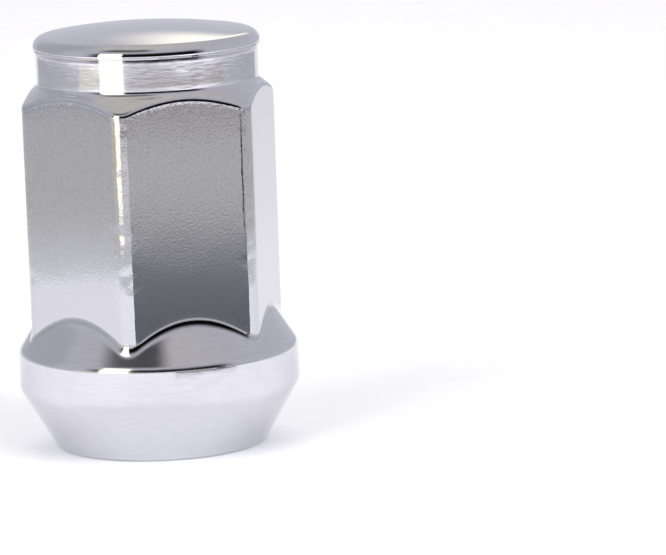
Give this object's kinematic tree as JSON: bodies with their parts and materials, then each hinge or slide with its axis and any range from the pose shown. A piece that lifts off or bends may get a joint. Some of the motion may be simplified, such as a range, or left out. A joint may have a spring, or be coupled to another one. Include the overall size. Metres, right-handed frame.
{
  "type": "acorn lug nut",
  "caption": "Chrome acorn lug nut with a hexagon, a bulged cone seat and a domed cap welded over a blind stud thread, for fastening a car wheel to its hub.",
  "frame": {"origin": "centre of the open seat end, on the face that the nut stands on", "axes": "+Z along the thread axis from the open end towards the domed cap; two hexagon flats face +Y and -Y"},
  "size_m": [0.025, 0.025, 0.0377],
  "materials": {
    "body_chrome": "bright chrome plate over forged steel, with a faint orange peel on the flats",
    "cap_chrome": "polished chrome plate over pressed steel sheet"
  },
  "bodies": {
    "root": {"nut_body": "body_chrome", "end_cap": "cap_chrome"}
  },
  "joints": []
}
